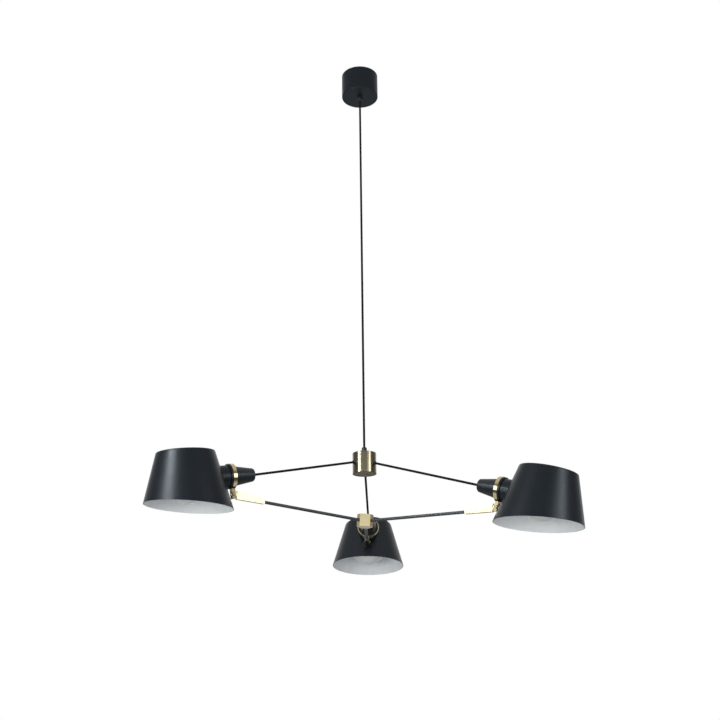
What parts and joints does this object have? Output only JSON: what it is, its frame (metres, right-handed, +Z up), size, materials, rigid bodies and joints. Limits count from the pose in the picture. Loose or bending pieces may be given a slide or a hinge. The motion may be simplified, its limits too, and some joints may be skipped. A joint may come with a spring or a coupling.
{
  "type": "ceiling light",
  "caption": "Pendant ceiling light: tilting tapered shades with opal globe bulbs on the rods of a flat star, hung from a hub on one cable below a round canopy.",
  "frame": {"origin": "in the ceiling plane, at the middle of the canopy and of its mounting strap", "axes": "+Z up into the ceiling, -Y towards the viewer, +X along the mounting strap"},
  "size_m": [0.8539, 0.766, 1.1862],
  "materials": {
    "black_coat": "satin powder coat",
    "aged_brass": "brushed, darkened",
    "polished_brass": "polished",
    "steel": "zinc plated",
    "cap_metal": "bright",
    "white_plastic": "smooth",
    "black_plastic": "moulded",
    "black_cord": "smooth sheath",
    "opal_glass": "opal"
  },
  "bodies": {
    "canopy": {"mounting_strap": "steel", "canopy_cup": "black_coat", "canopy_side_screws": "black_coat", "terminal_block": "white_plastic", "canopy_cord_grip": "black_plastic", "canopy_grip_nut": "black_plastic", "main_cable": "black_cord", "cable_stop": "steel"},
    "frame": {"hub_shell": "aged_brass", "hub_base_plate": "aged_brass", "hub_cord_grip": "black_plastic", "hub_grip_nut": "black_plastic", "hub_cord_bushes": "black_plastic", "hub_terminal": "white_plastic", "centre_block": "polished_brass", "block_set_screws": "steel", "hinge_screws": "polished_brass", "hinge_nuts": "polished_brass", "arm_rod_left": "black_coat", "arm_bar_left": "polished_brass", "arm_cord_left": "black_cord", "arm_rod_right": "black_coat", "arm_bar_right": "polished_brass", "arm_cord_right": "black_cord", "arm_rod_back": "black_coat", "arm_bar_back": "polished_brass", "arm_cord_back": "black_cord"},
    "left_bracket": {"clamp_ring_left": "polished_brass"},
    "left_head": {"neck_left": "black_coat", "rear_cone_left": "black_coat", "cord_bush_left": "black_plastic", "lampholder_left": "white_plastic", "holder_sleeve_left": "polished_brass", "shade_ring_left": "white_plastic", "shade_left": "black_coat", "bulb_globe_left": "opal_glass", "bulb_cap_left": "cap_metal"},
    "right_bracket": {"clamp_ring_right": "polished_brass"},
    "right_head": {"neck_right": "black_coat", "rear_cone_right": "black_coat", "cord_bush_right": "black_plastic", "lampholder_right": "white_plastic", "holder_sleeve_right": "polished_brass", "shade_ring_right": "white_plastic", "shade_right": "black_coat", "bulb_globe_right": "opal_glass", "bulb_cap_right": "cap_metal"},
    "back_bracket": {"clamp_ring_back": "polished_brass"},
    "back_head": {"neck_back": "black_coat", "rear_cone_back": "black_coat", "cord_bush_back": "black_plastic", "lampholder_back": "white_plastic", "holder_sleeve_back": "polished_brass", "shade_ring_back": "white_plastic", "shade_back": "black_coat", "bulb_globe_back": "opal_glass", "bulb_cap_back": "cap_metal"}
  },
  "joints": [
    {"name": "frame_swivel", "type": "hinge", "parent": "canopy", "child": "frame", "pos_m": [0, 0, -0.977], "axis": [0, 0, 1], "range_deg": [-180, 180]},
    {"name": "left_tilt", "type": "hinge", "parent": "frame", "child": "left_bracket", "pos_m": [-0.26453, -0.14731, -1.09801], "axis": [-0.4838, 0.8746, 0.0313], "range_deg": [0, 20], "deforming": ["arm_cord_left"]},
    {"name": "left_twist", "type": "hinge", "parent": "left_bracket", "child": "left_head", "pos_m": [-0.26946, -0.15132, -1.06206], "axis": [-0.8647, -0.4722, -0.1712], "range_deg": [-90, 90]},
    {"name": "right_tilt", "type": "hinge", "parent": "frame", "child": "right_bracket", "pos_m": [0.26058, -0.15649, -1.13196], "axis": [-0.514, -0.8572, 0.0332], "range_deg": [0, 20], "deforming": ["arm_cord_right"]},
    {"name": "right_twist", "type": "hinge", "parent": "right_bracket", "child": "right_head", "pos_m": [0.27041, -0.16104, -1.09711], "axis": [0.8144, -0.4997, -0.2951], "range_deg": [-90, 90]},
    {"name": "back_tilt", "type": "hinge", "parent": "frame", "child": "back_bracket", "pos_m": [0.00596, 0.3038, -1.1155], "axis": [0.9978, -0.0175, -0.0645], "range_deg": [0, 20], "deforming": ["arm_cord_back"]},
    {"name": "back_twist", "type": "hinge", "parent": "back_bracket", "child": "back_head", "pos_m": [0.0084, 0.31466, -1.08073], "axis": [-0.0026, 0.9546, -0.2978], "range_deg": [-90, 90]}
  ]
}
